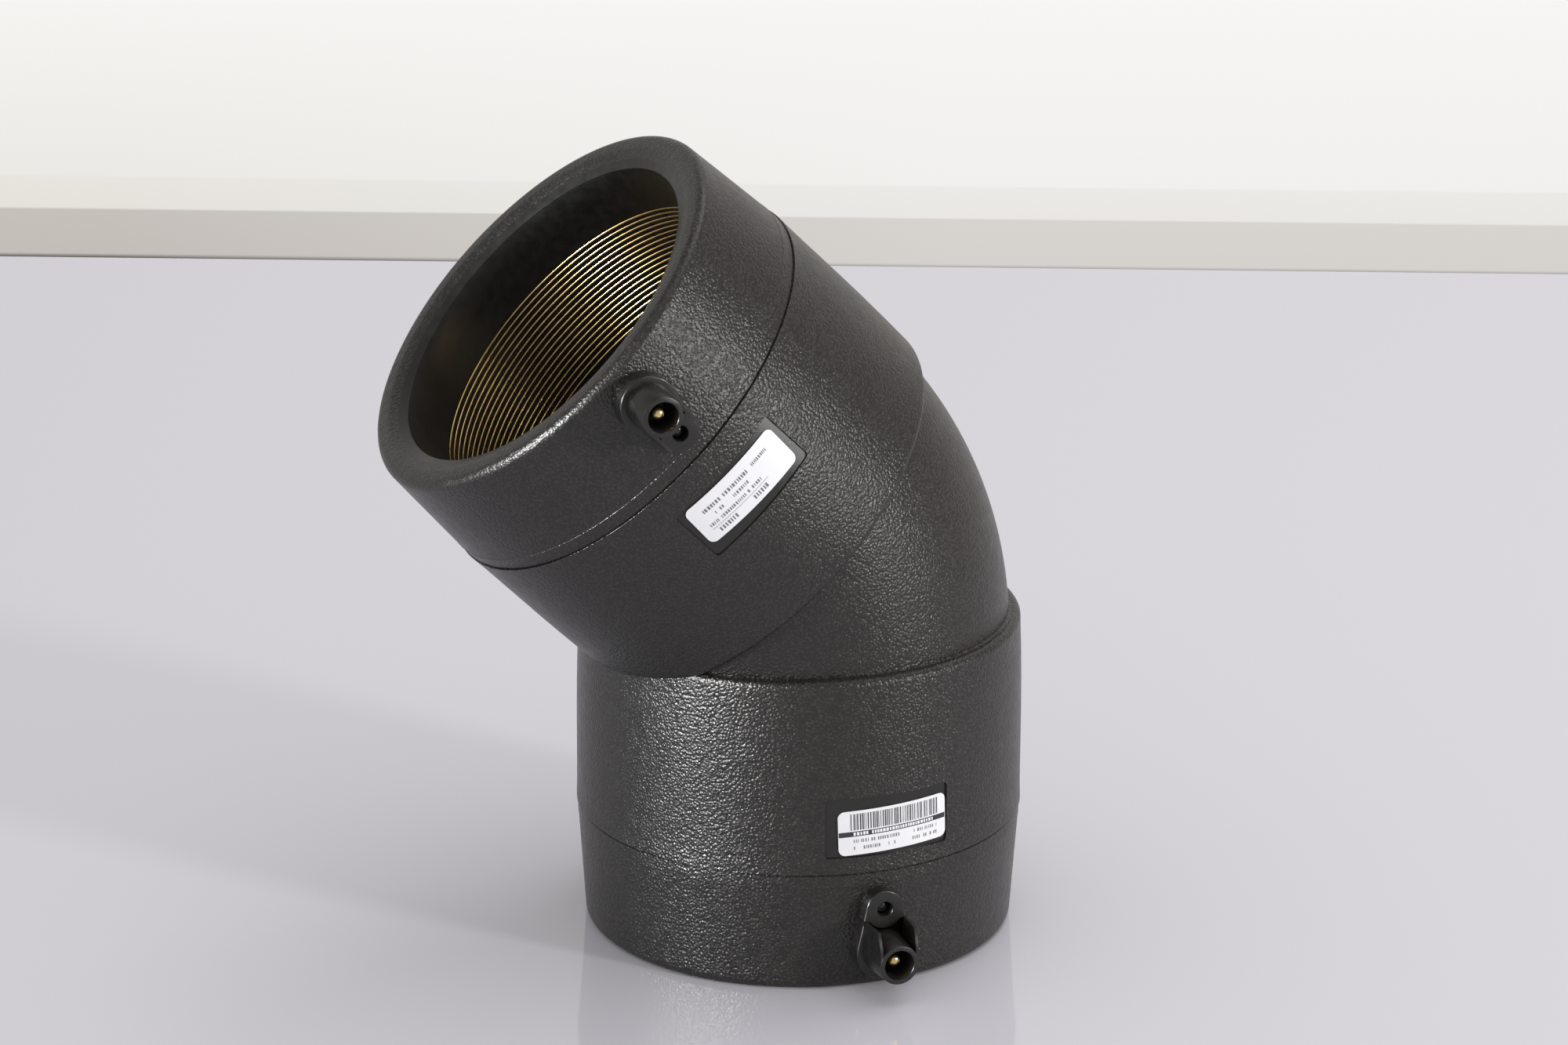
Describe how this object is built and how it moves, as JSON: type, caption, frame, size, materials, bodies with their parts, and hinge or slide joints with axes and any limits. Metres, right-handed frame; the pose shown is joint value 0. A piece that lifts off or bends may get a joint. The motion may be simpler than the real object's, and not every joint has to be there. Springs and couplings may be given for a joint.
{
  "type": "electrofusion elbow",
  "caption": "Polyethylene electrofusion elbow with a 45 degree bend, pipe sockets lined with heating wire, shrouded terminals, fusion indicators and recessed labels.",
  "frame": {"origin": "middle of the footprint box, at the level of the lower mouth on which the fitting stands", "axes": "+Z along the lower socket's axis, up into the fitting; the upper socket leans towards -X; the terminals stand out towards -Y"},
  "size_m": [0.2036, 0.1566, 0.2559],
  "materials": {
    "body": "finely pebbled moulded black polyethylene, with a plain satin mouth and bore",
    "wire": "bare drawn wire, bright",
    "pin": "turned, polished dome",
    "indicator": "smooth glossy black",
    "label": "white film with a light gloss"
  },
  "bodies": {
    "root": {"elbow_body": "body", "heating_wire": "wire", "terminal_pin_lower": "pin", "terminal_pin_upper": "pin", "fusion_indicator_lower": "indicator", "fusion_indicator_upper": "indicator", "label_lower": "label", "label_upper": "label"}
  },
  "joints": []
}
